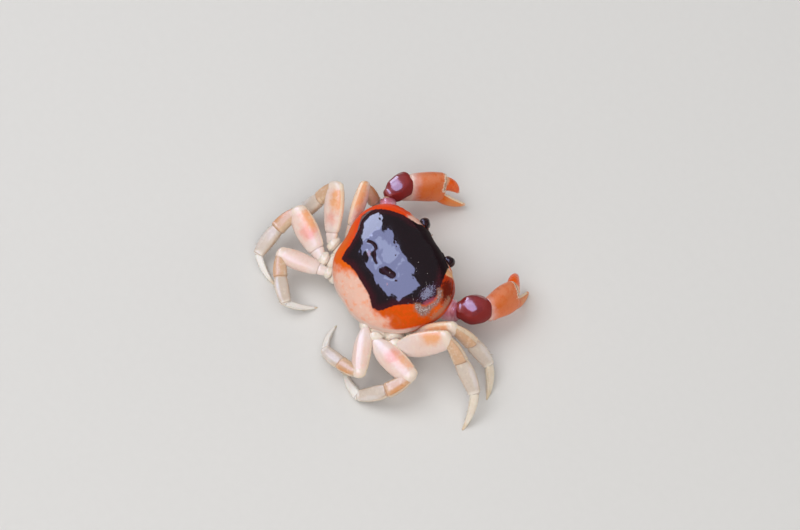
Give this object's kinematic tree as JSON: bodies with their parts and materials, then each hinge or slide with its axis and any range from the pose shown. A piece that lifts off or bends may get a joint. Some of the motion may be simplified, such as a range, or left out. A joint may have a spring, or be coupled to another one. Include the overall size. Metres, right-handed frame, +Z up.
{
  "type": "land crab",
  "caption": "Land crab standing on bent walking legs, claws reaching forwards and dark domed shell tilted up at the front.",
  "frame": {"origin": "on the floor, under the middle of the animal's bounding box", "axes": "+Z up, -Y the way the head faces, +X the animal's left"},
  "size_m": [0.1048, 0.0816, 0.0281],
  "materials": {
    "carapace": "glossy near-black shell with an orange rim",
    "underside": "satin cream chitin",
    "leg": "satin ivory chitin with a pink and orange blush",
    "leg_tip": "satin horn-coloured tips",
    "claw": "smooth orange chitin",
    "wrist": "glossy maroon chitin",
    "eye": "polished near-black cornea"
  },
  "bodies": {
    "root": {"carapace": "carapace", "thorax": "underside", "abdomen": "underside", "eye_left": "eye", "antenna_left": "leg", "maxilliped_left": "underside", "claw_left_hip": "leg", "claw_left_arm": "wrist", "claw_left_wrist": "wrist", "claw_left_palm": "claw", "claw_left_finger": "claw", "leg2_left_hip": "leg", "leg2_left_merus": "leg", "leg2_left_carpus": "leg", "leg2_left_propodus": "leg", "leg2_left_dactylus": "leg_tip", "leg3_left_hip": "leg", "leg3_left_merus": "leg", "leg3_left_carpus": "leg", "leg3_left_propodus": "leg", "leg3_left_dactylus": "leg_tip", "leg4_left_hip": "leg", "leg4_left_merus": "leg", "leg4_left_carpus": "leg", "leg4_left_propodus": "leg", "leg4_left_dactylus": "leg_tip", "leg5_left_hip": "leg", "leg5_left_merus": "leg", "leg5_left_carpus": "leg", "leg5_left_propodus": "leg", "leg5_left_dactylus": "leg_tip", "eye_right": "eye", "antenna_right": "leg", "maxilliped_right": "underside", "claw_right_hip": "leg", "claw_right_arm": "wrist", "claw_right_wrist": "wrist", "claw_right_palm": "claw", "claw_right_finger": "claw", "leg2_right_hip": "leg", "leg2_right_merus": "leg", "leg2_right_carpus": "leg", "leg2_right_propodus": "leg", "leg2_right_dactylus": "leg_tip", "leg3_right_hip": "leg", "leg3_right_merus": "leg", "leg3_right_carpus": "leg", "leg3_right_propodus": "leg", "leg3_right_dactylus": "leg_tip", "leg4_right_hip": "leg", "leg4_right_merus": "leg", "leg4_right_carpus": "leg", "leg4_right_propodus": "leg", "leg4_right_dactylus": "leg_tip", "leg5_right_hip": "leg", "leg5_right_merus": "leg", "leg5_right_carpus": "leg", "leg5_right_propodus": "leg", "leg5_right_dactylus": "leg_tip"}
  },
  "joints": []
}
